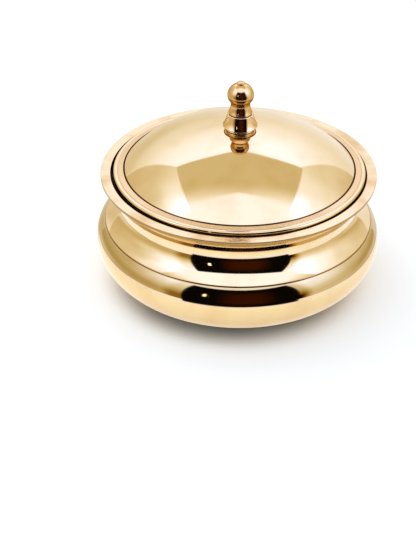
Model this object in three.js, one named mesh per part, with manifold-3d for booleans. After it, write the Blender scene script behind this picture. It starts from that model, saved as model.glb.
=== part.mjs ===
import * as THREE from 'three';
import { mergeVertices } from 'three/addons/utils/BufferGeometryUtils.js';
import Module from 'manifold-3d';

// Lidded serving bowl in polished brass, millimetres, +Z up.
// The origin is the centre of the flat base. The bowl is two spun shells that meet at a fine line
// round the shoulder. The domed lid drops into a step inside the rim and lifts straight off.

// Bowl, outside
const rimHeight = 63.4;
const rimRadius = 75;
const rimEdge = 1.6;
const rimBand = 5.4;
const rimBevel = 0.3;
const neckInset = 10.5;
const neckDrop = 15.6;
const seamInset = 1.7;
const seamDrop = 28.1;
const seamBevel = 0.35;
const seamTilt = THREE.MathUtils.degToRad(55);
const bellyBulge = 3;
const bellyHeight = 24.8;
const baseInset = 26.5;
const shoulderBendShare = 0.545;

// Bowl, inside
const bowlWall = 1.6;
const recessDepth = 2.6;
const seatWidth = 3.6;

// Lid
const lidSheet = 1.2;
const lidClearance = 1.2;
const lidShift = 0.4;
const bandRise = 1.9;
const bandRound = 1.1;
const bandWidth = 2.2;
const cutDepth = 0.35;
const cutWidth = 0.3;
const ringWidth = 3.05;
const ringRise = 0.6;
const grooveWidth = 1;
const grooveDepth = 0.9;
const domeStep = 0.3;
const domeRise = 23.7;
const domeTurnShare = 0.53;
const domeTurnPower = 4;
const crownRoundShare = 0.15;

// Knob
const collarFootRadius = 8;
const collarFootHeight = 1.4;
const collarRadius = 9.3;
const collarRound = 0.5;
const collarHeight = 8.8;
const collarTopRadius = 7.05;
const collarWaistShares = { out: 0.27, up: 0.36 };
const collarTopBevel = 0.4;
const beadRadius = 6.35;
const beadHeight = 0.9;
const beadBevel = 0.25;
const stemRadius = 5.4;
const stemLength = 6;
const stemWaistShares = { out: -0.6, up: 0.5 };
const ballRadius = 7.1;
const ballCrown = 6.9;
const ballDrop = 5.8;
const buttonRadius = 2.15;
const buttonHeight = 1.3;
const buttonRound = 0.9;

// Fixing under the dome
const screwRadius = 2;
const screwLead = 0.5;
const screwGrip = 7;
const screwHeadRadius = 3.6;
const screwHeadHeight = 2.2;
const screwHeadRound = 0.8;
const slotWidth = 1;
const slotDepth = 1.1;
const washerRadius = 5.5;
const washerThickness = 0.8;

// Fits
const boreClearance = 0.3;
const seatGap = 0.3;
const cutOverrun = 1;

// How finely curves are divided
const shellSides = 64;
const knobSides = 32;
const longSteps = 10;
const bendSteps = 6;
const roundSteps = 3;

const point = (radius, height) => new THREE.Vector2(radius, height);

// Places worked out from the sizes above
const recessRadius = rimRadius - rimBand;
const seatHeight = rimHeight - recessDepth;
const seatInnerRadius = recessRadius - seatWidth;
const bellyRadius = rimRadius + bellyBulge;
const baseRadius = rimRadius - baseInset;
const neck = point(rimRadius - neckInset, rimHeight - neckDrop);
const neckInside = point(neck.x - bowlWall, neck.y);
const shoulderBend = point(neck.x, neck.y - (seamDrop - neckDrop) * shoulderBendShare);
const belly = point(bellyRadius, bellyHeight);
const bellyInside = point(bellyRadius - bowlWall, bellyHeight);
const seam = point(rimRadius - seamInset, rimHeight - seamDrop);
const seamInward = point(-Math.cos(seamTilt), -Math.sin(seamTilt));
const seamDownward = point(Math.sin(seamTilt), -Math.cos(seamTilt));
const seamBottom = seam.clone().addScaledVector(seamInward, seamBevel);
const seamInside = seam.clone().addScaledVector(seamInward, bowlWall);
const lowerLip = seam.clone().addScaledVector(seamDownward, seamBevel);
const upperLip = seam.clone().addScaledVector(seamDownward, -seamBevel);

const flangeRadius = recessRadius - lidClearance;
const lipInnerRadius = flangeRadius - lidSheet;
const bandHeight = rimHeight + bandRise;
const flangeUnderHeight = bandHeight - lidSheet;
const bandInnerRadius = flangeRadius - bandWidth;
const ringInnerRadius = bandInnerRadius - ringWidth;
const ringHeight = bandHeight + ringRise;
const domeRadius = ringInnerRadius - grooveWidth;
const domeEdgeHeight = ringHeight + domeStep;
const boreRadius = screwRadius + boreClearance;
const coneReach = Math.hypot(1, crownRoundShare) - crownRoundShare;

// An arc from start, where it runs straight up or down, through end.
function arcFromUpright(start, end, steps) {
  const out = end.x - start.x;
  const along = end.y - start.y;
  const radius = (out * out + along * along) / (2 * Math.abs(out));
  const sweep = 2 * Math.atan2(Math.abs(out), Math.abs(along));
  const points = [];
  for (let step = 0; step <= steps; step += 1) {
    const turn = (sweep * step) / steps;
    const across = radius * (1 - Math.cos(turn)) * Math.sign(out);
    const up = radius * Math.sin(turn) * Math.sign(along);
    points.push(point(start.x + across, start.y + up));
  }
  return points;
}

// A quarter of an ellipse from a flat bottom out and up to the upright point side.
function bowlTurn(bottom, side) {
  const width = side.x - bottom.x;
  const depth = side.y - bottom.y;
  const turn = new THREE.EllipseCurve(bottom.x, side.y, width, depth, -Math.PI / 2, 0);
  return turn.getPoints(longSteps);
}

// A quarter round about centre, counted from the angle where it starts.
function quarterRound(centre, radius, start) {
  const round = new THREE.EllipseCurve(centre.x, centre.y, radius, radius, start, start + Math.PI / 2);
  return round.getPoints(roundSteps);
}

// A quarter round from an upright face to a flat top.
function topRound(corner, radius) {
  return quarterRound(point(corner.x - radius, corner.y - radius), radius, 0);
}

function bend(start, waist, end) {
  return new THREE.QuadraticBezierCurve(start, waist, end).getPoints(bendSteps);
}

// The dome is a shallow cone with a rounded tip, and turns down faster towards its edge.
function heightAt(dome, radius) {
  const share = radius / dome.edge.x;
  const cone = (Math.hypot(share, crownRoundShare) - crownRoundShare) / coneReach;
  const fall = THREE.MathUtils.lerp(cone, share ** domeTurnPower, domeTurnShare);
  return THREE.MathUtils.lerp(dome.apex, dome.edge.y, fall);
}

// The dome from its edge to the bore, with the points closer where it turns down.
function domeOutline(dome) {
  const points = [];
  for (let step = longSteps; step > 0; step -= 1) {
    const radius = dome.edge.x * Math.sin(((Math.PI / 2) * step) / longSteps);
    points.push(point(radius, heightAt(dome, radius)));
  }
  points.push(point(boreRadius, heightAt(dome, boreRadius)));
  return points;
}

// Turns an outline about the Z axis. The outline runs with the metal on its left.
function turned(outline, sides) {
  const geometry = new THREE.LatheGeometry(outline, sides);
  geometry.rotateX(Math.PI / 2);
  geometry.deleteAttribute('normal');
  geometry.deleteAttribute('uv');
  return mergeVertices(geometry);
}

const closed = (outline) => [...outline, outline[0]];

function lowerShellOutline() {
  const bottomInside = point(baseRadius, bowlWall);
  return [
    point(0, 0),
    ...bowlTurn(point(baseRadius, 0), belly),
    ...arcFromUpright(belly, lowerLip, bendSteps).slice(1),
    seamBottom,
    seamInside,
    ...arcFromUpright(bellyInside, seamInside, bendSteps).reverse().slice(1),
    ...bowlTurn(bottomInside, bellyInside).reverse().slice(1),
    point(0, bowlWall),
  ];
}

function upperShellOutline() {
  const rimUnder = point(rimRadius - rimBevel, rimHeight - rimEdge);
  return closed([
    seamInside,
    seamBottom,
    ...bend(neck, shoulderBend, upperLip).reverse(),
    ...arcFromUpright(neck, rimUnder, bendSteps).slice(1),
    point(rimRadius, rimUnder.y + rimBevel),
    point(rimRadius, rimHeight - rimBevel),
    point(rimRadius - rimBevel, rimHeight),
    point(recessRadius + rimBevel, rimHeight),
    point(recessRadius, rimHeight - rimBevel),
    point(recessRadius, seatHeight),
    ...arcFromUpright(neckInside, point(seatInnerRadius, seatHeight), bendSteps).reverse(),
    ...arcFromUpright(neckInside, seamInside, bendSteps).slice(1, -1),
  ]);
}

const domeOutside = { edge: point(domeRadius, domeEdgeHeight), apex: domeEdgeHeight + domeRise };
const coneSteepness = 1 / (Math.hypot(1, crownRoundShare) * coneReach);
const edgeSteepness = THREE.MathUtils.lerp(coneSteepness, domeTurnPower, domeTurnShare);
const domeEdgeSlope = Math.atan((domeRise / domeRadius) * edgeSteepness);
const domeInside = {
  edge: point(
    domeRadius - lidSheet * Math.sin(domeEdgeSlope),
    domeEdgeHeight - lidSheet * Math.cos(domeEdgeSlope),
  ),
  apex: domeOutside.apex - lidSheet,
};

function lidOutline() {
  const grooveRadius = domeRadius + grooveWidth / 2;
  return closed([
    point(lipInnerRadius, seatHeight),
    point(flangeRadius, seatHeight),
    ...topRound(point(flangeRadius, bandHeight), bandRound),
    point(bandInnerRadius + cutWidth, bandHeight),
    point(bandInnerRadius, bandHeight - cutDepth),
    point(bandInnerRadius - cutWidth, bandHeight),
    point(ringInnerRadius, ringHeight),
    point(grooveRadius, ringHeight - grooveDepth),
    ...domeOutline(domeOutside),
    ...domeOutline(domeInside).reverse(),
    point(ringInnerRadius, flangeUnderHeight),
    point(lipInnerRadius, flangeUnderHeight),
  ]);
}

const collarFoot = heightAt(domeOutside, collarFootRadius) + seatGap;
const collarTop = collarFoot + collarHeight;

function collarOutline() {
  const lipUnder = collarFoot + collarFootHeight;
  const lipTop = point(collarRadius, lipUnder + collarRound);
  const shoulder = point(collarTopRadius, collarTop - collarTopBevel);
  const waist = point(
    THREE.MathUtils.lerp(collarTopRadius, collarRadius, collarWaistShares.out),
    THREE.MathUtils.lerp(lipTop.y, shoulder.y, collarWaistShares.up),
  );
  return closed([
    point(boreRadius, heightAt(domeOutside, boreRadius) + seatGap),
    point(collarFootRadius, collarFoot),
    point(collarFootRadius, lipUnder),
    ...quarterRound(point(collarRadius - collarRound, lipTop.y), collarRound, -Math.PI / 2),
    ...bend(lipTop, waist, shoulder).slice(1),
    point(collarTopRadius - collarTopBevel, collarTop),
    point(boreRadius, collarTop),
  ]);
}

// The ball sits where its surface meets the top of the stem. Its lower half is flatter than its crown.
const ballLowAngle = -Math.acos(stemRadius / ballRadius);
const ballHighAngle = Math.acos(buttonRadius / ballRadius);
const ballHeight = collarTop + beadHeight + stemLength - ballDrop * Math.sin(ballLowAngle);
const buttonFoot = ballHeight + ballCrown * Math.sin(ballHighAngle);

function ballOutline() {
  const lower = new THREE.EllipseCurve(0, ballHeight, ballRadius, ballDrop, ballLowAngle, 0);
  const upper = new THREE.EllipseCurve(0, ballHeight, ballRadius, ballCrown, 0, ballHighAngle);
  return [...lower.getPoints(roundSteps), ...upper.getPoints(bendSteps).slice(1)];
}

function finialOutline() {
  const beadTop = point(beadRadius, collarTop + beadHeight);
  const stemTop = point(stemRadius, beadTop.y + stemLength);
  const waist = point(
    THREE.MathUtils.lerp(stemRadius, beadRadius, stemWaistShares.out),
    THREE.MathUtils.lerp(beadTop.y, stemTop.y, stemWaistShares.up),
  );
  const boreEnd = collarTop + screwGrip + seatGap;
  return [
    point(0, boreEnd),
    point(boreRadius, boreEnd),
    point(boreRadius, collarTop),
    point(beadRadius - beadBevel, collarTop),
    point(beadRadius, collarTop + beadBevel),
    ...bend(beadTop, waist, stemTop),
    ...ballOutline().slice(1),
    ...topRound(point(buttonRadius, buttonFoot + buttonHeight), buttonRound),
    point(0, buttonFoot + buttonHeight),
  ];
}

const washerTop = heightAt(domeInside, washerRadius) - seatGap;
const washerUnder = washerTop - washerThickness;

function washerOutline() {
  return closed([
    point(boreRadius, washerUnder),
    point(washerRadius, washerUnder),
    point(washerRadius, washerTop),
    point(boreRadius, washerTop),
  ]);
}

function screwOutline() {
  const headFoot = washerUnder - screwHeadHeight;
  const shankTop = collarTop + screwGrip;
  const headRoundCentre = point(screwHeadRadius - screwHeadRound, headFoot + screwHeadRound);
  return [
    point(0, headFoot),
    ...quarterRound(headRoundCentre, screwHeadRound, -Math.PI / 2),
    point(screwHeadRadius, washerUnder),
    point(screwRadius, washerUnder),
    point(screwRadius, shankTop - screwLead),
    point(screwRadius - screwLead, shankTop),
    point(0, shankTop),
  ];
}

const wasm = await Module();
wasm.setup();

function toSolid(geometry) {
  const vertProperties = Float32Array.from(geometry.attributes.position.array);
  const triVerts = Uint32Array.from(geometry.index.array);
  return new wasm.Manifold(new wasm.Mesh({ numProp: 3, vertProperties, triVerts }));
}

function toGeometry(solid) {
  const { vertProperties, triVerts } = solid.getMesh();
  const geometry = new THREE.BufferGeometry();
  geometry.setAttribute('position', new THREE.BufferAttribute(vertProperties, 3));
  geometry.setIndex(new THREE.BufferAttribute(triVerts, 1));
  return geometry;
}

// The driver slot is cut across the face of the head.
function slottedScrew() {
  const headFoot = washerUnder - screwHeadHeight;
  const slotLength = 2 * (screwHeadRadius + cutOverrun);
  const slot = new THREE.BoxGeometry(slotLength, slotWidth, slotDepth + cutOverrun);
  slot.translate(0, 0, headFoot + (slotDepth - cutOverrun) / 2);
  slot.deleteAttribute('normal');
  slot.deleteAttribute('uv');
  const blank = toSolid(turned(screwOutline(), knobSides));
  return toGeometry(blank.subtract(toSolid(mergeVertices(slot))));
}

const polishedBrass = new THREE.MeshStandardMaterial({ color: 0xd9b36a, roughness: 0.12, metalness: 1 });
const turnedBrass = new THREE.MeshStandardMaterial({ color: 0xe0b987, roughness: 0.3, metalness: 1 });
const platedSteel = new THREE.MeshStandardMaterial({ color: 0xb9bcc0, roughness: 0.3, metalness: 1 });

function piece(name, geometry, material) {
  const mesh = new THREE.Mesh(geometry, material);
  mesh.name = name;
  return mesh;
}

const bowl = new THREE.Group();
bowl.add(piece('bowl_lower_shell', turned(lowerShellOutline(), shellSides), polishedBrass));
bowl.add(piece('bowl_upper_shell', turned(upperShellOutline(), shellSides), turnedBrass));

const lid = new THREE.Group();
lid.position.x = lidShift;
lid.add(piece('lid_shell', turned(lidOutline(), shellSides), polishedBrass));
lid.add(piece('knob_collar', turned(collarOutline(), knobSides), polishedBrass));
lid.add(piece('knob_finial', turned(finialOutline(), knobSides), polishedBrass));
lid.add(piece('knob_screw', slottedScrew(), platedSteel));
lid.add(piece('knob_washer', turned(washerOutline(), knobSides), platedSteel));

const part = new THREE.Group();
part.add(bowl, lid);

export default part;
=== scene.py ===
import math
import bpy
from mathutils import Matrix, Vector


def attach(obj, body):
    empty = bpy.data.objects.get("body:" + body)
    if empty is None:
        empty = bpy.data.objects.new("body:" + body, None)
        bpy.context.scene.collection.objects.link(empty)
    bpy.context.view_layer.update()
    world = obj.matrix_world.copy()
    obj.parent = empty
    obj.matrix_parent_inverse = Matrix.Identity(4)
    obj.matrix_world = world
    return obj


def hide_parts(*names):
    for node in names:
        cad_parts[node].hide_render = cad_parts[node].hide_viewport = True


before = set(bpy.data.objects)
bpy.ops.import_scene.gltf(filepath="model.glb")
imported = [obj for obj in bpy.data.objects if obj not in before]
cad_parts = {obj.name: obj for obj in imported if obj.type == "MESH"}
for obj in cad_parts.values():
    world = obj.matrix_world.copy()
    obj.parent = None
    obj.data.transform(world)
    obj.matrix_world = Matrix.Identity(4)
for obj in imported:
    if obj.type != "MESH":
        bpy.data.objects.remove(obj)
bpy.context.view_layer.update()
print("loaded the packed bowl:", ", ".join(sorted(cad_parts)))

mm = 0.001
degree = math.radians(1)

# Points closer than this are one point
mergeMm = 0.002

# Every corner sharper than "from" degrees becomes a small round of so many steps. It takes at most "share"
# of each side, and a side more than "flat" times as long as the round keeps a ring close to it
corners = {"from": 25, "steps": 5, "share": 0.42, "flat": 4, "ring": 1.5}


# Outlines: lists of (radius, height) in mm, drawn with the metal on the left

def mixPoint(first, second, share):
    return (first[0] + (second[0] - first[0]) * share, first[1] + (second[1] - first[1]) * share)


def uprightArc(start, end, steps):
    # An arc that runs straight up or down at start and passes through end
    out = end[0] - start[0]
    along = end[1] - start[1]
    radius = (out * out + along * along) / (2 * abs(out))
    sweep = 2 * math.atan2(abs(out), abs(along))
    points = []
    for step in range(steps + 1):
        turn = sweep * step / steps
        across = radius * (1 - math.cos(turn)) * math.copysign(1, out)
        up = radius * math.sin(turn) * math.copysign(1, along)
        points.append((start[0] + across, start[1] + up))
    return points


def ovalArc(centre, width, height, start, end, steps):
    points = []
    for step in range(steps + 1):
        turn = (start + (end - start) * step / steps) * degree
        points.append((centre[0] + width * math.cos(turn), centre[1] + height * math.sin(turn)))
    return points


def easedCurve(start, handle, end, steps):
    points = []
    for step in range(steps + 1):
        share = step / steps
        points.append(mixPoint(mixPoint(start, handle, share), mixPoint(handle, end, share), share))
    return points


def cornerBend(before, corner, after):
    inward = math.atan2(corner[1] - before[1], corner[0] - before[0])
    outward = math.atan2(after[1] - corner[1], after[0] - corner[0])
    return abs((outward - inward + math.pi) % (2 * math.pi) - math.pi)


def roundCorners(outline, rounding, loop):
    count = len(outline)
    rounded = []
    for index, corner in enumerate(outline):
        before = outline[index - 1]
        after = outline[(index + 1) % count]
        bend = cornerBend(before, corner, after)
        isEnd = not loop and index in (0, count - 1)
        if isEnd or bend < corners["from"] * degree:
            rounded.append(corner)
            continue
        inLength = math.dist(before, corner)
        outLength = math.dist(corner, after)
        reach = rounding * math.tan(bend / 2)
        reach = min(reach, corners["share"] * inLength, corners["share"] * outLength)
        if inLength > corners["flat"] * reach:
            rounded.append(mixPoint(corner, before, corners["ring"] * reach / inLength))
        start = mixPoint(corner, before, reach / inLength)
        end = mixPoint(corner, after, reach / outLength)
        rounded.extend(easedCurve(start, corner, end, corners["steps"]))
        if outLength > corners["flat"] * reach:
            rounded.append(mixPoint(corner, after, corners["ring"] * reach / outLength))
    return rounded


def spinPiece(name, outline, sides, centreX=0, loop=False):
    # One vertex is drawn along the outline by extruding it, and the line is spun once round the axis
    if loop:
        outline = outline + outline[:1]
    bpy.ops.object.select_all(action="DESELECT")
    bpy.ops.mesh.primitive_circle_add(vertices=3, radius=mm, location=(0, 0, 0))
    piece = bpy.context.object
    piece.name = name
    piece.data.name = name
    bpy.ops.object.mode_set(mode="EDIT")
    bpy.ops.mesh.select_all(action="SELECT")
    bpy.ops.mesh.merge(type="CENTER")
    bpy.ops.transform.translate(value=((centreX + outline[0][0]) * mm, 0, outline[0][1] * mm))
    for last, point in zip(outline, outline[1:]):
        step = ((point[0] - last[0]) * mm, 0, (point[1] - last[1]) * mm)
        bpy.ops.mesh.extrude_vertices_move(TRANSFORM_OT_translate={"value": step})
    bpy.ops.mesh.select_all(action="SELECT")
    bpy.ops.mesh.spin(steps=sides, angle=2 * math.pi, center=(centreX * mm, 0, 0), axis=(0, 0, 1))
    bpy.ops.mesh.select_all(action="SELECT")
    bpy.ops.mesh.remove_doubles(threshold=mergeMm * mm)
    bpy.ops.mesh.normals_make_consistent(inside=False)
    bpy.ops.object.mode_set(mode="OBJECT")
    bpy.ops.object.shade_smooth()
    return piece


# The bowl: two spun shells that meet at the fine line round the shoulder
bowlShape = {
    "rimRadius": 75, "rimHeight": 63.4, "rimEdge": 1.6, "rimBand": 5.4,
    "neckInset": 10.5, "neckDrop": 15.6, "shoulderBend": 0.545,
    "seamInset": 1.7, "seamDrop": 28.1, "seamBevel": 0.35, "seamTilt": 55,
    "bellyBulge": 3, "bellyHeight": 24.8, "baseInset": 26.5,
    "wall": 1.6, "recessDepth": 2.6, "seatWidth": 3.6,
    "edgeRound": 0.35, "sides": 256, "baseRings": (0.4, 0.8),
    "steps": {"belly": 48, "lip": 18, "lipInside": 14, "bellyInside": 36,
              "shoulder": 28, "neck": 32, "neckInside": 24},
}


def bowlPlaces(shape):
    tilt = shape["seamTilt"] * degree
    inward = (-math.cos(tilt), -math.sin(tilt))
    downward = (math.sin(tilt), -math.cos(tilt))
    seam = (shape["rimRadius"] - shape["seamInset"], shape["rimHeight"] - shape["seamDrop"])
    neck = (shape["rimRadius"] - shape["neckInset"], shape["rimHeight"] - shape["neckDrop"])
    bellyRadius = shape["rimRadius"] + shape["bellyBulge"]
    seatHeight = shape["rimHeight"] - shape["recessDepth"]
    recessRadius = shape["rimRadius"] - shape["rimBand"]

    def fromSeam(way, distance):
        return (seam[0] + way[0] * distance, seam[1] + way[1] * distance)

    return {
        "neck": neck,
        "neckInside": (neck[0] - shape["wall"], neck[1]),
        "shoulderBend": (neck[0], neck[1] - (neck[1] - seam[1]) * shape["shoulderBend"]),
        "belly": (bellyRadius, shape["bellyHeight"]),
        "bellyInside": (bellyRadius - shape["wall"], shape["bellyHeight"]),
        "baseRadius": shape["rimRadius"] - shape["baseInset"],
        "seamBottom": fromSeam(inward, shape["seamBevel"]),
        "seamInside": fromSeam(inward, shape["wall"]),
        "lowerLip": fromSeam(downward, shape["seamBevel"]),
        "upperLip": fromSeam(downward, -shape["seamBevel"]),
        "recessRadius": recessRadius,
        "seatHeight": seatHeight,
        "seatInner": (recessRadius - shape["seatWidth"], seatHeight),
    }


bowl = bowlPlaces(bowlShape)


def makeLowerShell():
    shape = bowlShape
    steps = shape["steps"]
    wall = shape["wall"]
    base = bowl["baseRadius"]
    belly = bowl["belly"]
    inside = bowl["bellyInside"]
    outline = [(0, 0)]
    outline += [(base * ring, 0) for ring in shape["baseRings"]]
    outline += ovalArc((base, belly[1]), belly[0] - base, belly[1], -90, 0, steps["belly"])
    outline += uprightArc(belly, bowl["lowerLip"], steps["lip"])[1:]
    outline += [bowl["seamBottom"], bowl["seamInside"]]
    outline += uprightArc(inside, bowl["seamInside"], steps["lipInside"])[::-1][1:]
    outline += ovalArc((base, inside[1]), inside[0] - base, inside[1] - wall,
                       -90, 0, steps["bellyInside"])[::-1][1:]
    outline += [(base * ring, wall) for ring in reversed(shape["baseRings"])]
    outline += [(0, wall)]
    outline = roundCorners(outline, shape["seamBevel"], loop=False)
    return spinPiece("bowlBelly", outline, shape["sides"])


def makeUpperShell():
    shape = bowlShape
    steps = shape["steps"]
    rimUnder = (shape["rimRadius"], shape["rimHeight"] - shape["rimEdge"])
    outline = [bowl["seamInside"], bowl["seamBottom"]]
    outline += easedCurve(bowl["neck"], bowl["shoulderBend"], bowl["upperLip"], steps["shoulder"])[::-1]
    outline += uprightArc(bowl["neck"], rimUnder, steps["neck"])[1:]
    outline += [
        (shape["rimRadius"], shape["rimHeight"]),
        (bowl["recessRadius"], shape["rimHeight"]),
        (bowl["recessRadius"], bowl["seatHeight"]),
    ]
    outline += uprightArc(bowl["neckInside"], bowl["seatInner"], steps["neckInside"])[::-1]
    outline += uprightArc(bowl["neckInside"], bowl["seamInside"], steps["neckInside"])[1:-1]
    outline = roundCorners(outline, shape["edgeRound"], loop=True)
    return spinPiece("bowlNeck", outline, shape["sides"], loop=True)


# The drop-in lid: a rolled band, a ring of fine turned lines, a groove and the dome
lidShape = {
    "sheet": 1.2, "clearance": 1.2, "shift": 0.4, "boreRadius": 2.3,
    "bandRise": 1.9, "bandRound": 1.1, "bandWidth": 2.2, "cutWidth": 0.25, "cutDepth": 0.3,
    "ringWidth": 3.05, "ringRise": 0.6, "lines": 4, "lineWidth": 0.3, "lineDepth": 0.06,
    "grooveWidth": 1.0, "grooveDepth": 0.9, "domeStep": 0.3, "domeRise": 23.7,
    "turnShare": 0.53, "turnPower": 4, "crownRound": 0.15, "slopeRun": 1,
    "edgeRound": 0.16, "sides": 256, "steps": {"band": 10, "dome": 84, "domeInside": 48},
}


def coneFall(share):
    # A cone with a rounded tip: 0 at its middle, 1 at its edge
    tip = lidShape["crownRound"]
    return (math.hypot(share, tip) - tip) / (math.hypot(1, tip) - tip)


def heightAt(dome, radius):
    # The dome is a shallow cone at its crown and turns down faster towards its edge
    share = radius / dome["edge"][0]
    turn = lidShape["turnShare"]
    fall = (1 - turn) * coneFall(share) + turn * share ** lidShape["turnPower"]
    return dome["apex"] + (dome["edge"][1] - dome["apex"]) * fall


def lidPlaces(shape):
    flangeRadius = bowl["recessRadius"] - shape["clearance"]
    bandHeight = bowlShape["rimHeight"] + shape["bandRise"]
    bandInner = flangeRadius - shape["bandWidth"]
    ringInner = bandInner - shape["ringWidth"]
    ringHeight = bandHeight + shape["ringRise"]
    domeRadius = ringInner - shape["grooveWidth"]
    domeEdge = ringHeight + shape["domeStep"]
    apex = domeEdge + shape["domeRise"]
    outside = {"edge": (domeRadius, domeEdge), "apex": apex}
    slope = math.atan2(heightAt(outside, domeRadius - shape["slopeRun"]) - domeEdge, shape["slopeRun"])
    insideEdge = (
        domeRadius - shape["sheet"] * math.sin(slope),
        domeEdge - shape["sheet"] * math.cos(slope),
    )
    return {
        "flangeRadius": flangeRadius,
        "lipInner": flangeRadius - shape["sheet"],
        "bandHeight": bandHeight,
        "bandInner": bandInner,
        "ringInner": ringInner,
        "ringHeight": ringHeight,
        "underHeight": bandHeight - shape["sheet"],
        "domeOutside": outside,
        "domeInside": {"edge": insideEdge, "apex": apex - shape["sheet"]},
    }


lid = lidPlaces(lidShape)


def domeOutline(dome, steps):
    # From the edge inwards to the bore, with the points closer where the dome turns down
    points = []
    for step in range(steps, 0, -1):
        radius = dome["edge"][0] * math.sin(90 * degree * step / steps)
        if radius > lidShape["boreRadius"]:
            points.append((radius, heightAt(dome, radius)))
    return points + [(lidShape["boreRadius"], heightAt(dome, lidShape["boreRadius"]))]


def turnedLines():
    # Fine V lines turned into the sloping ring of the lid, from the outside in
    shape = lidShape
    start = (lid["bandInner"], lid["bandHeight"])
    end = (lid["ringInner"], lid["ringHeight"])
    half = shape["lineWidth"] / shape["ringWidth"] / 2
    points = []
    for line in range(shape["lines"]):
        middle = (line + 0.5) / shape["lines"]
        bottom = mixPoint(start, end, middle)
        points.append(mixPoint(start, end, middle - half))
        points.append((bottom[0], bottom[1] - shape["lineDepth"]))
        points.append(mixPoint(start, end, middle + half))
    return points


def makeLid():
    shape = lidShape
    steps = shape["steps"]
    flange = lid["flangeRadius"]
    band = lid["bandHeight"]
    grooveRadius = lid["ringInner"] - shape["grooveWidth"] / 2
    outline = [(lid["lipInner"], bowl["seatHeight"]), (flange, bowl["seatHeight"])]
    outline += ovalArc((flange - shape["bandRound"], band - shape["bandRound"]),
                       shape["bandRound"], shape["bandRound"], 0, 90, steps["band"])
    outline += [
        (lid["bandInner"] + shape["cutWidth"], band),
        (lid["bandInner"], band - shape["cutDepth"]),
        (lid["bandInner"] - shape["cutWidth"], band),
    ]
    outline += turnedLines()
    outline += [
        (lid["ringInner"], lid["ringHeight"]),
        (grooveRadius, lid["ringHeight"] - shape["grooveDepth"]),
    ]
    outline += domeOutline(lid["domeOutside"], steps["dome"])
    outline += domeOutline(lid["domeInside"], steps["domeInside"])[::-1]
    outline += [(lid["ringInner"], lid["underHeight"]), (lid["lipInner"], lid["underHeight"])]
    outline = roundCorners(outline, shape["edgeRound"], loop=True)
    return spinPiece("lidDome", outline, shape["sides"], shape["shift"], loop=True)


# The knob's flared collar
collarShape = {
    "footRadius": 8, "footHeight": 1.4, "radius": 9.3, "lipRound": 0.5, "height": 8.8,
    "topRadius": 7.05, "waistOut": 0.27, "waistUp": 0.36, "topRound": 0.4,
    "seatGap": 0.3, "edgeRound": 0.15, "sides": 128, "steps": {"lip": 6, "flare": 24, "top": 6},
}

collarFoot = heightAt(lid["domeOutside"], collarShape["footRadius"]) + collarShape["seatGap"]
collarTop = collarFoot + collarShape["height"]


def makeCollar():
    shape = collarShape
    steps = shape["steps"]
    bore = lidShape["boreRadius"]
    lipUnder = collarFoot + shape["footHeight"]
    lipTop = (shape["radius"], lipUnder + shape["lipRound"])
    shoulder = (shape["topRadius"], collarTop - shape["topRound"])
    waist = (
        shoulder[0] + (lipTop[0] - shoulder[0]) * shape["waistOut"],
        lipTop[1] + (shoulder[1] - lipTop[1]) * shape["waistUp"],
    )
    outline = [(bore, heightAt(lid["domeOutside"], bore) + shape["seatGap"])]
    outline += [(shape["footRadius"], collarFoot), (shape["footRadius"], lipUnder)]
    outline += ovalArc((shape["radius"] - shape["lipRound"], lipTop[1]),
                       shape["lipRound"], shape["lipRound"], -90, 0, steps["lip"])
    outline += easedCurve(lipTop, waist, shoulder, steps["flare"])[1:]
    outline += ovalArc((shoulder[0] - shape["topRound"], shoulder[1]),
                       shape["topRound"], shape["topRound"], 0, 90, steps["top"])[1:]
    outline += [(bore, collarTop)]
    outline = roundCorners(outline, shape["edgeRound"], loop=True)
    return spinPiece("knobCollar", outline, shape["sides"], lidShape["shift"], loop=True)


# The knob's finial: a bead, a waisted stem, a ball and its small button
finialShape = {
    "beadRadius": 6.35, "beadHeight": 0.9, "beadRound": 0.3,
    "stemRadius": 5.4, "stemLength": 6, "waistOut": -0.6, "waistUp": 0.5,
    "ballRadius": 7.1, "ballCrown": 6.9, "ballDrop": 5.8,
    "buttonRadius": 2.15, "buttonFoot": 1.8, "buttonHeight": 1.3,
    "boreDepth": 7.3, "edgeRound": 0.45, "sides": 128,
    "steps": {"bead": 5, "stem": 20, "ballLow": 18, "ball": 28, "button": 16},
}


def ballAndButton(stemTop):
    shape = finialShape
    steps = shape["steps"]
    low = -math.degrees(math.acos(shape["stemRadius"] / shape["ballRadius"]))
    side = math.degrees(math.acos(shape["buttonRadius"] / shape["ballRadius"]))
    foot = math.degrees(math.acos(shape["buttonFoot"] / shape["ballRadius"]))
    lean = math.degrees(math.acos(shape["buttonFoot"] / shape["buttonRadius"]))
    centre = stemTop - shape["ballDrop"] * math.sin(low * degree)
    top = centre + shape["ballCrown"] * math.sin(side * degree) + shape["buttonHeight"]
    footHeight = centre + shape["ballCrown"] * math.sin(foot * degree)
    half = (top - footHeight) / (1 + math.sin(lean * degree))
    outline = ovalArc((0, centre), shape["ballRadius"], shape["ballDrop"], low, 0, steps["ballLow"])
    outline += ovalArc((0, centre), shape["ballRadius"], shape["ballCrown"], 0, foot, steps["ball"])[1:]
    return outline + ovalArc((0, top - half), shape["buttonRadius"], half, -lean, 90, steps["button"])[1:]


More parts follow.
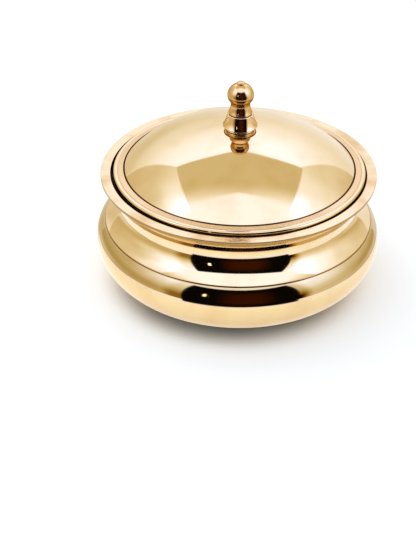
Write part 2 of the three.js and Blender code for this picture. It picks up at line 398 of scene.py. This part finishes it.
def makeFinial():
    shape = finialShape
    bore = lidShape["boreRadius"]
    boreEnd = collarTop + shape["boreDepth"]
    beadTop = (shape["beadRadius"], collarTop + shape["beadHeight"])
    stemTop = (shape["stemRadius"], beadTop[1] + shape["stemLength"])
    waist = (
        stemTop[0] + (beadTop[0] - stemTop[0]) * shape["waistOut"],
        beadTop[1] + (stemTop[1] - beadTop[1]) * shape["waistUp"],
    )
    outline = [(0, boreEnd), (bore, boreEnd), (bore, collarTop)]
    outline += ovalArc((shape["beadRadius"] - shape["beadRound"], collarTop + shape["beadRound"]),
                       shape["beadRound"], shape["beadRound"], -90, 0, shape["steps"]["bead"])
    outline += easedCurve(beadTop, waist, stemTop, shape["steps"]["stem"])
    outline += ballAndButton(stemTop[1])[1:]
    outline = roundCorners(outline, shape["edgeRound"], loop=False)
    return spinPiece("knobFinial", outline, shape["sides"], lidShape["shift"])


# The washer under the dome
washerShape = {"radius": 5.5, "thickness": 0.8, "gap": 0.3, "edgeRound": 0.12, "sides": 96}

washerTop = heightAt(lid["domeInside"], washerShape["radius"]) - washerShape["gap"]
washerUnder = washerTop - washerShape["thickness"]


def makeWasher():
    bore = lidShape["boreRadius"]
    outline = [
        (bore, washerUnder), (washerShape["radius"], washerUnder),
        (washerShape["radius"], washerTop), (bore, washerTop),
    ]
    outline = roundCorners(outline, washerShape["edgeRound"], loop=True)
    return spinPiece("washer", outline, washerShape["sides"], lidShape["shift"], loop=True)


# The pan-head screw that holds the knob
screwShape = {
    "radius": 2, "lead": 0.5, "grip": 7, "headRadius": 3.6, "headHeight": 2.2, "headRound": 0.8,
    "slotWidth": 1, "slotDepth": 1.1, "overrun": 1, "sides": 96, "headRing": 0.5, "headSteps": 8,
    "smoothAngle": 30,
}


def makeScrew():
    shape = screwShape
    foot = washerUnder - shape["headHeight"]
    top = collarTop + shape["grip"]
    outline = [(0, foot), (shape["headRadius"] * shape["headRing"], foot)]
    outline += ovalArc((shape["headRadius"] - shape["headRound"], foot + shape["headRound"]),
                       shape["headRound"], shape["headRound"], -90, 0, shape["headSteps"])
    outline += [
        (shape["headRadius"], washerUnder), (shape["radius"], washerUnder),
        (shape["radius"], top - shape["lead"]), (shape["radius"] - shape["lead"], top), (0, top),
    ]
    screw = spinPiece("knobScrew", outline, shape["sides"], lidShape["shift"])
    cutSlot(screw, foot)
    return screw


def cutSlot(screw, foot):
    # The driver slot: a bar as long as the head, taken out of its face
    shape = screwShape
    depth = shape["slotDepth"] + shape["overrun"]
    middle = foot + (shape["slotDepth"] - shape["overrun"]) / 2
    bpy.ops.object.select_all(action="DESELECT")
    bpy.ops.mesh.primitive_cube_add(size=1, location=(lidShape["shift"] * mm, 0, middle * mm))
    bar = bpy.context.object
    bar.scale = (2 * (shape["headRadius"] + shape["overrun"]) * mm, shape["slotWidth"] * mm, depth * mm)
    bpy.ops.object.transform_apply(location=True, rotation=True, scale=True)
    bpy.ops.object.select_all(action="DESELECT")
    screw.select_set(True)
    bpy.context.view_layer.objects.active = screw
    cut = screw.modifiers.new("slot", "BOOLEAN")
    cut.operation = "DIFFERENCE"
    cut.solver = "EXACT"
    cut.object = bar
    bpy.ops.object.modifier_apply(modifier=cut.name)
    bpy.data.objects.remove(bar)
    bpy.ops.object.shade_smooth_by_angle(angle=shape["smoothAngle"] * degree)


# Materials

def linearColour(hexColour):
    # The sRGB curve
    channels = []
    for start in (1, 3, 5):
        value = int(hexColour[start:start + 2], 16) / 255
        channels.append(value / 12.92 if value <= 0.04045 else ((value + 0.055) / 1.055) ** 2.4)
    return (*channels, 1)


def addNode(tree, kind, settings=None, links=None, output=None):
    # Adds a node with its settings by property, and its links as {socket: output or value}. It gives back
    # the output asked for, or else the first one in use.
    node = tree.nodes.new(kind)
    for name, value in (settings or {}).items():
        setattr(node, name, value)
    for name, source in (links or {}).items():
        socket = node.inputs[name]
        if isinstance(source, bpy.types.NodeSocket):
            tree.links.new(source, socket)
        else:
            socket.default_value = source
    if output:
        return node.outputs[output]
    return next((socket for socket in node.outputs if socket.enabled), None)


def startMaterial(name):
    material = bpy.data.materials.new(name)
    material.use_nodes = True
    material.node_tree.nodes.clear()
    return material, material.node_tree


def lathePlace(tree, centreX, centreY=0):
    # Place on the piece, distance from an upright axis and height, in metres
    place = addNode(tree, "ShaderNodeTexCoord", output="Object")
    centred = addNode(tree, "ShaderNodeMapping", links={
        "Vector": place, "Location": (-centreX * mm, -centreY * mm, 0),
    })
    across, along, height = addNode(tree, "ShaderNodeSeparateXYZ", links={"Vector": centred}).node.outputs
    flat = addNode(tree, "ShaderNodeCombineXYZ", links={"X": across, "Y": along})
    radius = addNode(tree, "ShaderNodeVectorMath", {"operation": "LENGTH"}, {0: flat})
    return {"place": place, "radius": radius, "height": height}


def zoneShare(tree, values, edges):
    # 1 inside a zone and 0 outside. Each edge names a value, where the zone starts and where it is full
    share = 1.0
    for name, start, full in edges:
        share = addNode(tree, "ShaderNodeMapRange", {"interpolation_type": "SMOOTHSTEP"}, {
            "Value": values[name], "From Min": start, "From Max": full, "To Max": share,
        })
    return share


def bandEdges(band):
    # A turned band, given by its radii and heights in mm, as four soft edges
    edges = []
    for name in ("radius", "height"):
        low, high = band[name]
        edges.append((name, (low - band["soft"]) * mm, (low + band["soft"]) * mm))
        edges.append((name, (high + band["soft"]) * mm, (high - band["soft"]) * mm))
    return edges


# The edge colour tints the brass at grazing angles. The lathe's real circles are about 0.2 mm apart, and
# are drawn coarser than that so that they show.
brassLook = {
    "bodyHex": "#EACF9C", "edgeHex": "#FFFFFF",
    "tarnishHex": "#E6CFA8", "tarnishShare": 0.35, "tarnishMm": 18, "tarnishDetail": 4,
    "castFrom": 0.45, "castTo": 0.75,
    "roughness": 0.045, "dullRoughness": 0.09, "dullFrom": 0.4, "dullTo": 0.8,
    "swellMm": 26, "swellHeightMm": 0.012, "swellDetail": 1,
    "latheMm": 0.9, "latheHeightMm": 0.0005, "latheWanderMm": 3, "latheDetail": 3,
}

# The deep belly is a slightly darker copy of the brass: painted shade, as the low belly mirrors a dimmer
# part of the tent
shadedBellyLook = {**brassLook, "bodyHex": "#E6CA98"}
# The collar is a lighter copy of the brass: painted light, as it mirrors a dim part of the tent
brightenedCollarLook = {
    **brassLook, "bodyHex": "#F4D2A2", "edgeHex": "#C4AA7C",
    "swellMm": 9, "swellHeightMm": 0.006, "latheHeightMm": 0.004,
}
finialLook = {**brightenedCollarLook, "bodyHex": "#E6C088", "roughness": 0.14, "dullRoughness": 0.18}

# Bands laid over the brass: the rim's brushed turned face, a painted reflection on the rim's edge, a
# painted shadow in the lid's seat, painted shade on the lid's flange, its brushed ring, a dark brown
# groove, painted light under the collar, painted shade under its lip, a painted reflection round the
# finial, a painted shadow at its joint, darker duller gold at the seam and painted shade on the upper belly
rimBands = [
    {"radius": (69.6, 75), "height": (63.2, 64), "soft": 0.1, "hex": "#ECD09C", "roughness": 0.08,
     "latheHeightMm": 0.12, "tarnishShare": 1.0},
    # Painted reflection: the rim's outer edge is painted dark amber
    {"radius": (73.9, 76), "height": (60.4, 63.2), "soft": 0.15, "hex": "#A68245", "roughness": 0.16,
     "latheHeightMm": 0.01, "tarnishShare": 0.35},
    # Painted shadow: the lid's seat down in the gap is painted near black
    {"radius": (65, 69.75), "height": (60, 62.3), "soft": 0.1, "hex": "#0A0502", "roughness": 0.6,
     "latheHeightMm": 0.001, "tarnishShare": 0},
]
lidBands = [
    # Painted shade: the lid's flange, where it drops into the gap, is painted darker amber
    {"radius": (67.4, 69), "height": (60, 63.6), "soft": 0.3, "hex": "#C48C42", "roughness": 0.3,
     "latheHeightMm": 0.001, "tarnishShare": 0.35},
    {"radius": (63.2, 66.2), "height": (65, 67), "soft": 0.1, "hex": "#E4BF88", "roughness": 0.1,
     "latheHeightMm": 0.02, "tarnishShare": 0.35},
    {"radius": (62.2, 63.1), "height": (65, 66.15), "soft": 0.1, "hex": "#74460F", "roughness": 0.4,
     "latheHeightMm": 0.001, "tarnishShare": 0},
]
collarBands = [
    # Painted light: the shaded foot under the collar is painted pale so that it mirrors brighter
    {"radius": (6, 8.7), "height": (collarFoot - 1, collarFoot + 1.5), "soft": 0.1, "hex": "#FFEFCC",
     "roughness": 0.25, "latheHeightMm": 0.001, "tarnishShare": 0},
    # Painted shade: a dark brown line under the collar's lip
    {"radius": (8.75, 9.4), "height": (collarFoot + 1.35, collarFoot + 1.7), "soft": 0.08, "hex": "#6E4818",
     "roughness": 0.4, "latheHeightMm": 0.001, "tarnishShare": 0},
]
finialBands = [
    # Painted reflection: a brown band round the finial's stem and ball
    {"radius": (3, 8), "height": (collarTop + 4.5, collarTop + 11.4), "soft": 0.6, "hex": "#C09050",
     "roughness": 0.14, "latheHeightMm": 0.002, "tarnishShare": 0},
    # Painted shadow: a dark line where the finial sits on the collar
    {"radius": (5.6, 7.2), "height": (collarTop - 0.2, collarTop + 0.3), "soft": 0.1, "hex": "#4A2E12",
     "roughness": 0.4, "latheHeightMm": 0.001, "tarnishShare": 0},
]
seamBand = {
    "radius": (72.4, 73.9), "height": (35, 35.6), "soft": 0.15, "hex": "#BC9A62", "roughness": 0.2,
    "latheHeightMm": 0.001, "tarnishShare": 0,
}
bellyBands = [
    # Painted shade: a darker gold band on the belly below the seam
    {"radius": (60, 80), "height": (29, 36), "soft": 3.5, "hex": "#CCB076", "roughness": 0.06,
     "latheHeightMm": 0.0005, "tarnishShare": 0.35},
    seamBand,
]


def brassPatterns(tree, values, look):
    # Noise for the slow swell, for the handled places and for the lathe's circles, which wander a little
    swell = addNode(tree, "ShaderNodeTexNoise", links={
        "Vector": values["place"], "Scale": 1 / (look["swellMm"] * mm), "Detail": look["swellDetail"],
    })
    tarnish = addNode(tree, "ShaderNodeTexNoise", links={
        "Vector": values["place"], "Scale": 1 / (look["tarnishMm"] * mm), "Detail": look["tarnishDetail"],
    })
    wander = addNode(tree, "ShaderNodeMath", {"operation": "MULTIPLY"}, {
        0: tarnish, 1: look["latheWanderMm"] * mm,
    })
    turned = addNode(tree, "ShaderNodeCombineXYZ", links={
        "X": values["radius"], "Y": wander, "Z": values["height"],
    })
    lathe = addNode(tree, "ShaderNodeTexNoise", links={
        "Vector": turned, "Scale": 1 / (look["latheMm"] * mm), "Detail": look["latheDetail"],
    })
    return swell, tarnish, lathe


def layBands(tree, values, surface, bands):
    # Each band mixes its own colour, roughness, lathe depth and share of tarnish over those before it
    for band in bands:
        share = zoneShare(tree, values, bandEdges(band))
        own = {
            "colour": linearColour(band["hex"]), "rough": band["roughness"],
            "depth": band["latheHeightMm"] * mm, "tarnishShare": band["tarnishShare"],
        }
        for name, value in own.items():
            kind = "RGBA" if name == "colour" else "FLOAT"
            surface[name] = addNode(tree, "ShaderNodeMix", {"data_type": kind}, {
                "Factor": share, "A": surface[name], "B": value,
            })


def makeBrass(name, look, centreX, bands):
    # Common cartridge brass, spun over a former and buffed: a mirror with a slow swell in it, faint
    # circles from the lathe, and a slightly darker and warmer cast where handling has dulled the buffing.
    # The bands lay their own colours over it: brushed turned metal, darker metal in the groove and seam,
    # and painted shade, shadow, light and reflection.
    material, tree = startMaterial(name)
    values = lathePlace(tree, centreX)
    swell, tarnish, lathe = brassPatterns(tree, values, look)
    cast = addNode(tree, "ShaderNodeMapRange", links={
        "Value": tarnish, "From Min": look["castFrom"], "From Max": look["castTo"],
    })
    rough = addNode(tree, "ShaderNodeMapRange", links={
        "Value": tarnish, "From Min": look["dullFrom"], "From Max": look["dullTo"],
        "To Min": look["roughness"], "To Max": look["dullRoughness"],
    })
    surface = {
        "colour": linearColour(look["bodyHex"]), "rough": rough,
        "depth": look["latheHeightMm"] * mm, "tarnishShare": look["tarnishShare"],
    }
    layBands(tree, values, surface, bands)
    tarnished = addNode(tree, "ShaderNodeMath", {"operation": "MULTIPLY"}, {
        0: cast, 1: surface["tarnishShare"],
    })
    colour = addNode(tree, "ShaderNodeMix", {"data_type": "RGBA", "blend_type": "MULTIPLY"}, {
        "Factor": tarnished, "A": surface["colour"], "B": linearColour(look["tarnishHex"]),
    })
    swellBump = addNode(tree, "ShaderNodeBump", links={
        "Height": swell, "Strength": 1, "Distance": look["swellHeightMm"] * mm,
    })
    latheBump = addNode(tree, "ShaderNodeBump", links={
        "Height": lathe, "Strength": 1, "Distance": surface["depth"], "Normal": swellBump,
    })
    shader = addNode(tree, "ShaderNodeBsdfPrincipled", links={
        "Base Color": colour, "Metallic": 1, "Roughness": surface["rough"], "Normal": latheBump,
        "Specular Tint": linearColour(look["edgeHex"]),
    })
    addNode(tree, "ShaderNodeOutputMaterial", links={"Surface": shader})
    return material


steelLook = {
    "hex": "#C3C6C8", "cloudMm": 1.5, "cloudDetail": 3, "cloudFrom": 0.3, "cloudTo": 0.7,
    "roughness": 0.22, "cloudRoughness": 0.4, "ringMm": 0.3, "ringHeightMm": 0.004, "ringDetail": 2,
}


def makeSteel(name, look, centreX):
    # Bright zinc-plated steel: a cool grey with a slightly cloudy plating and machining rings
    material, tree = startMaterial(name)
    values = lathePlace(tree, centreX)
    turned = addNode(tree, "ShaderNodeCombineXYZ", links={"X": values["radius"], "Z": values["height"]})
    cloud = addNode(tree, "ShaderNodeTexNoise", links={
        "Vector": values["place"], "Scale": 1 / (look["cloudMm"] * mm), "Detail": look["cloudDetail"],
    })
    rings = addNode(tree, "ShaderNodeTexNoise", links={
        "Vector": turned, "Scale": 1 / (look["ringMm"] * mm), "Detail": look["ringDetail"],
    })
    bump = addNode(tree, "ShaderNodeBump", links={
        "Height": rings, "Strength": 1, "Distance": look["ringHeightMm"] * mm,
    })
    rough = addNode(tree, "ShaderNodeMapRange", links={
        "Value": cloud, "From Min": look["cloudFrom"], "From Max": look["cloudTo"],
        "To Min": look["roughness"], "To Max": look["cloudRoughness"],
    })
    shader = addNode(tree, "ShaderNodeBsdfPrincipled", links={
        "Base Color": linearColour(look["hex"]), "Metallic": 1, "Roughness": rough, "Normal": bump,
    })
    addNode(tree, "ShaderNodeOutputMaterial", links={"Surface": shader})
    return material


def dress(piece, material, node, body):
    piece.data.materials.clear()
    piece.data.materials.append(material)
    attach(piece, body)
    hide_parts(node)


shadedBellyBrass = makeBrass("buffedBrassShadedBelly", shadedBellyLook, 0, bellyBands)
rimBrass = makeBrass("buffedRimBrass", brassLook, 0, rimBands + [seamBand])
lidBrass = makeBrass("buffedLidBrass", brassLook, lidShape["shift"], lidBands)
collarBrass = makeBrass("buffedCollarBrass", brightenedCollarLook, lidShape["shift"], collarBands)
finialBrass = makeBrass("buffedFinialBrass", finialLook, lidShape["shift"], finialBands)
zincSteel = makeSteel("zincPlatedSteel", steelLook, lidShape["shift"])

dress(makeLowerShell(), shadedBellyBrass, "bowl_lower_shell", "bowl")
dress(makeUpperShell(), rimBrass, "bowl_upper_shell", "bowl")
print("spun the bowl")
dress(makeLid(), lidBrass, "lid_shell", "lid")
print("spun the lid")
dress(makeCollar(), collarBrass, "knob_collar", "lid")
dress(makeFinial(), finialBrass, "knob_finial", "lid")
dress(makeWasher(), zincSteel, "knob_washer", "lid")
dress(makeScrew(), zincSteel, "knob_screw", "lid")
print("turned the knob and its fixing")


# The studio: a white light tent round the bowl, lit from outside and open towards the camera.
# Levels are how bright each part looks in a perfect mirror, angles are in degrees seen from the bowl:
# azimuth is 0 towards the camera and grows to the right, and turned is azimuth without its sign.
# Across is how far right a ray leans, and reach is how far it goes back for each step up.
tent = {
    "wall": 0.6, "evenLight": (0.72, 0.77, 0.82, 1), "lowest": 0.05, "ceilingSoft": 0.012,
    "tint": {"Red": 0.7, "Green": 1, "Blue": 2},
    "ceilingEdges": {"overRight": (-1.484, 0, 1), "overLeft": (1.56, 0, 1), "overBack": (0, -1.376, 1)},
}

underCeiling = [(name, -tent["ceilingSoft"], tent["ceilingSoft"]) for name in tent["ceilingEdges"]]

# Each zone is laid over those before it, and either adds to the level there or sets it
clothZones = [
    # The side walls, with lamps behind their front halves, a little higher on the left
    {"add": 0.26, "edges": [("azimuth", 0, 1), ("elevation", -5, 15)]},
    {"add": 0.12, "edges": [("azimuth", 0, -1), ("elevation", -5, 15)]},
    {"add": 1.05, "edges": [("azimuth", 0, 1), ("azimuth", 130, 60), ("elevation", -8, 33)]},
    {"add": 1.05, "edges": [("azimuth", 0, -1), ("azimuth", -130, -60), ("elevation", -3, 38)]},
    {"add": 0.3, "edges": [("elevation", 32, 55)]},
    # Dimmer where the cloth hangs at the opening, brighter low on the right and in the far corners, and
    # dimmer again where the left wall's lamp ends
    {"add": -0.7, "edges": [("azimuth", 0, 1), ("azimuth", 60, 50)]},
    {"add": -0.4, "edges": [("azimuth", 0, -1), ("azimuth", -62, -50)]},
    {"add": 0.25, "edges": [
        ("azimuth", 40, 60), ("azimuth", 110, 90), ("elevation", -18, -14), ("elevation", 10, 0),
    ]},
    {"add": 0.1, "edges": [("turned", 100, 115), ("elevation", 15, 28)]},
    {"add": -0.2, "edges": [
        ("azimuth", -122, -100), ("azimuth", -72, -88), ("elevation", 14, 26), ("elevation", 46, 38),
    ]},
    # The cloth sweeps forward on to the table at the back
    {"set": 0.95, "edges": [("turned", 85, 130), ("elevation", -2, -14)]},
    # The back wall, brighter at its top and dimmer on the left, most of all low down
    {"set": 1.08, "edges": [("azimuth", 138.5, 140.1)]},
    {"set": 1.08, "edges": [("azimuth", -137.3, -138.9)]},
    {"add": -0.1, "edges": [("turned", 138, 139.6), ("across", 0.3, -0.3)]},
    {"add": -0.18, "edges": [("turned", 138, 139.6), ("across", 0.1, -0.3), ("elevation", 16, 4)]},
    {"add": 0.55, "edges": [("turned", 138, 139.6), ("elevation", 8, 48)]},
    # The ceiling, bright over the camera
    {"set": 0.72, "edges": underCeiling},
    {"set": 1.52, "edges": underCeiling + [("reach", 0.22, -0.28)]},
    {"set": 1.52, "edges": [("turned", 85, 60), ("elevation", 46.5, 49.5)]},
    # The table, and the shaded hem of the cloth behind it
    {"set": 1.3, "edges": [("elevation", -16.5, -18.5)]},
    {"set": 0.5, "edges": [("turned", 88, 96), ("elevation", -18.8, -18), ("elevation", -16.2, -17)]},
    # The table is dimmer behind the bowl and on its left, where the dome's far side mirrors it
    {"set": 0.8, "edges": [("turned", 140, 155), ("across", 0.25, -0.05), ("elevation", -10, -22)]},
]

# The open front: a dark room with a warm glimmer in its middle, and one small upright lamp in it
frontZones = [
    {"colour": linearColour("#0A0704"), "edges": [
        ("azimuth", -44, -42), ("azimuth", 48.5, 46.5), ("elevation", -28, -23), ("elevation", 50.5, 47.5),
    ]},
    {"colour": linearColour("#3C1800"), "edges": [
        ("azimuth", -19, -1), ("azimuth", 33, 15), ("elevation", -20, -4), ("elevation", 45, 25),
    ]},
    {"colour": (3, 3, 3, 1), "edges": [
        ("azimuth", -27.3, -26), ("azimuth", -23.7, -25), ("elevation", 10, 14), ("elevation", 24, 20),
    ]},
]


def tentValues(tree):
    # Where a ray leaves for: its angles, and how high it runs over the ceiling's edges
    way = addNode(tree, "ShaderNodeTexCoord", output="Generated")
    across, along, up = addNode(tree, "ShaderNodeSeparateXYZ", links={"Vector": way}).node.outputs
    near = addNode(tree, "ShaderNodeMath", {"operation": "MULTIPLY"}, {0: along, 1: -1})
    angles = {
        "azimuth": addNode(tree, "ShaderNodeMath", {"operation": "ARCTAN2"}, {0: across, 1: near}),
        "elevation": addNode(tree, "ShaderNodeMath", {"operation": "ARCSINE"}, {0: up}),
    }
    values = {"across": across}
    for name, angle in angles.items():
        values[name] = addNode(tree, "ShaderNodeMath", {"operation": "DEGREES"}, {0: angle})
    values["turned"] = addNode(tree, "ShaderNodeMath", {"operation": "ABSOLUTE"}, {0: values["azimuth"]})
    height = addNode(tree, "ShaderNodeMath", {"operation": "MAXIMUM"}, {0: up, 1: tent["lowest"]})
    values["reach"] = addNode(tree, "ShaderNodeMath", {"operation": "DIVIDE"}, {0: along, 1: height})
    for name, slopes in tent["ceilingEdges"].items():
        values[name] = addNode(tree, "ShaderNodeVectorMath", {"operation": "DOT_PRODUCT"}, {
            0: way, 1: slopes,
        })
    return values


def clothColour(tree, values):
    level = tent["wall"]
    for zone in clothZones:
        share = zoneShare(tree, values, zone["edges"])
        if "add" in zone:
            level = addNode(tree, "ShaderNodeMath", {"operation": "MULTIPLY_ADD"}, {
                0: share, 1: zone["add"], 2: level,
            })
        else:
            level = addNode(tree, "ShaderNodeMix", {"data_type": "FLOAT"}, {
                "Factor": share, "A": level, "B": zone["set"],
            })
    # The cloth is warm where it is dim and slightly blue where the lamps reach it
    channels = {}
    for name, power in tent["tint"].items():
        channels[name] = addNode(tree, "ShaderNodeMath", {"operation": "POWER"}, {0: level, 1: power})
    return addNode(tree, "ShaderNodeCombineColor", links=channels)


def makeTent():
    world = bpy.data.worlds.new("lightTent")
    bpy.context.scene.world = world
    world.use_nodes = True
    tree = world.node_tree
    tree.nodes.clear()
    values = tentValues(tree)
    seen = clothColour(tree, values)
    for zone in frontZones:
        seen = addNode(tree, "ShaderNodeMix", {"data_type": "RGBA"}, {
            "Factor": zoneShare(tree, values, zone["edges"]), "A": seen, "B": zone["colour"],
        })
    # Mirrors see the tent, the table gets an even light, and the camera sees plain white
    rays = addNode(tree, "ShaderNodeLightPath").node.outputs
    shown = addNode(tree, "ShaderNodeMix", {"data_type": "RGBA"}, {
        "Factor": rays["Is Glossy Ray"], "A": tent["evenLight"], "B": seen,
    })
    shown = addNode(tree, "ShaderNodeMix", {"data_type": "RGBA"}, {
        "Factor": rays["Is Camera Ray"], "A": shown, "B": (1, 1, 1, 1),
    })
    background = addNode(tree, "ShaderNodeBackground", links={"Color": shown, "Strength": 1})
    addNode(tree, "ShaderNodeOutputWorld", links={"Surface": background})


tableLook = {
    "sizeMm": 6000, "hex": "#F7F7F7", "paintedShadowHex": "#7086A0", "centreX": -1.7, "centreY": -8,
    "paintedShadowFrom": 49, "paintedShadowTo": 72, "lift": 0.25, "liftFrom": 55, "liftTo": 78,
    "mirrorLift": 0.5, "mirrorFrom": 100, "mirrorTo": 128,
}


def makeTable(look):
    # Matt white table. The camera sees its real shadow deepened by a painted shadow: a cool grey ring
    # painted round the foot, with the glow that whitens the table faded out near the bowl. Mirrors see the
    # table near the bowl only. Beyond, they see the tent.
    bpy.ops.object.select_all(action="DESELECT")
    bpy.ops.mesh.primitive_plane_add(size=look["sizeMm"] * mm, location=(0, 0, 0))
    table = bpy.context.object
    table.name = "table"
    material, tree = startMaterial("mattWhiteTable")
    values = lathePlace(tree, look["centreX"], look["centreY"])
    rays = addNode(tree, "ShaderNodeLightPath").node.outputs
    past = {}
    for name in ("paintedShadow", "lift", "mirror"):
        edge = ("radius", look[name + "From"] * mm, look[name + "To"] * mm)
        past[name] = zoneShare(tree, values, [edge])
    # Painted shadow: for the camera the table's colour darkens to a cool grey round the foot
    seen = addNode(tree, "ShaderNodeMix", {"data_type": "RGBA"}, {
        "Factor": past["paintedShadow"], "A": linearColour(look["paintedShadowHex"]), "B": linearColour(look["hex"]),
    })
    colour = addNode(tree, "ShaderNodeMix", {"data_type": "RGBA"}, {
        "Factor": rays["Is Camera Ray"], "A": linearColour(look["hex"]), "B": seen,
    })
    lift = addNode(tree, "ShaderNodeMath", {"operation": "MULTIPLY"}, {0: past["lift"], 1: look["lift"]})
    glow = addNode(tree, "ShaderNodeMix", {"data_type": "FLOAT"}, {
        "Factor": rays["Is Glossy Ray"], "A": lift, "B": look["mirrorLift"],
    })
    matt = addNode(tree, "ShaderNodeBsdfDiffuse", links={"Color": colour})
    added = addNode(tree, "ShaderNodeEmission", links={"Strength": glow})
    both = addNode(tree, "ShaderNodeAddShader", links={0: matt, 1: added})
    gone = addNode(tree, "ShaderNodeMath", {"operation": "MULTIPLY"}, {
        0: past["mirror"], 1: rays["Is Glossy Ray"],
    })
    clear = addNode(tree, "ShaderNodeBsdfTransparent")
    shown = addNode(tree, "ShaderNodeMixShader", links={0: gone, 1: both, 2: clear})
    addNode(tree, "ShaderNodeOutputMaterial", links={"Surface": shown})
    table.data.materials.append(material)


# In metres and watts
lampLook = {"place": (-0.35, 0.25, 1.1), "size": 1.1, "power": 3.2}


def makeLamp(look):
    light = bpy.data.lights.new("softbox", "AREA")
    light.shape = "SQUARE"
    light.size = look["size"]
    light.energy = look["power"]
    lamp = bpy.data.objects.new("softbox", light)
    lamp.location = look["place"]
    lamp.rotation_euler = (Vector(look["place"]) * -1).to_track_quat("-Z", "Y").to_euler()
    lamp.visible_glossy = False
    bpy.context.scene.collection.objects.link(lamp)


# The photograph's camera, measured from the rim's ellipse, the lid's groove and the belly: its place in
# metres, its angles in degrees, and its lens and frame in mm
cameraPlace = {
    "location": (-0.0162, -0.83, 0.5324), "pitchDown": 32.987, "roll": 0.428,
    "lens": 113.55, "frameHeight": 36,
}


def makeCamera(place):
    data = bpy.data.cameras.new("camera")
    data.sensor_fit = "VERTICAL"
    data.sensor_height = place["frameHeight"]
    data.lens = place["lens"]
    camera = bpy.data.objects.new("camera", data)
    tilt = Matrix.Rotation((90 - place["pitchDown"]) * degree, 4, "X")
    roll = Matrix.Rotation(place["roll"] * degree, 4, "Z")
    camera.matrix_world = Matrix.Translation(place["location"]) @ tilt @ roll
    bpy.context.scene.collection.objects.link(camera)
    bpy.context.scene.camera = camera


makeTent()
makeTable(tableLook)
makeLamp(lampLook)
makeCamera(cameraPlace)
bpy.context.scene.view_settings.view_transform = "Standard"
print("set up the tent, the table and the camera")
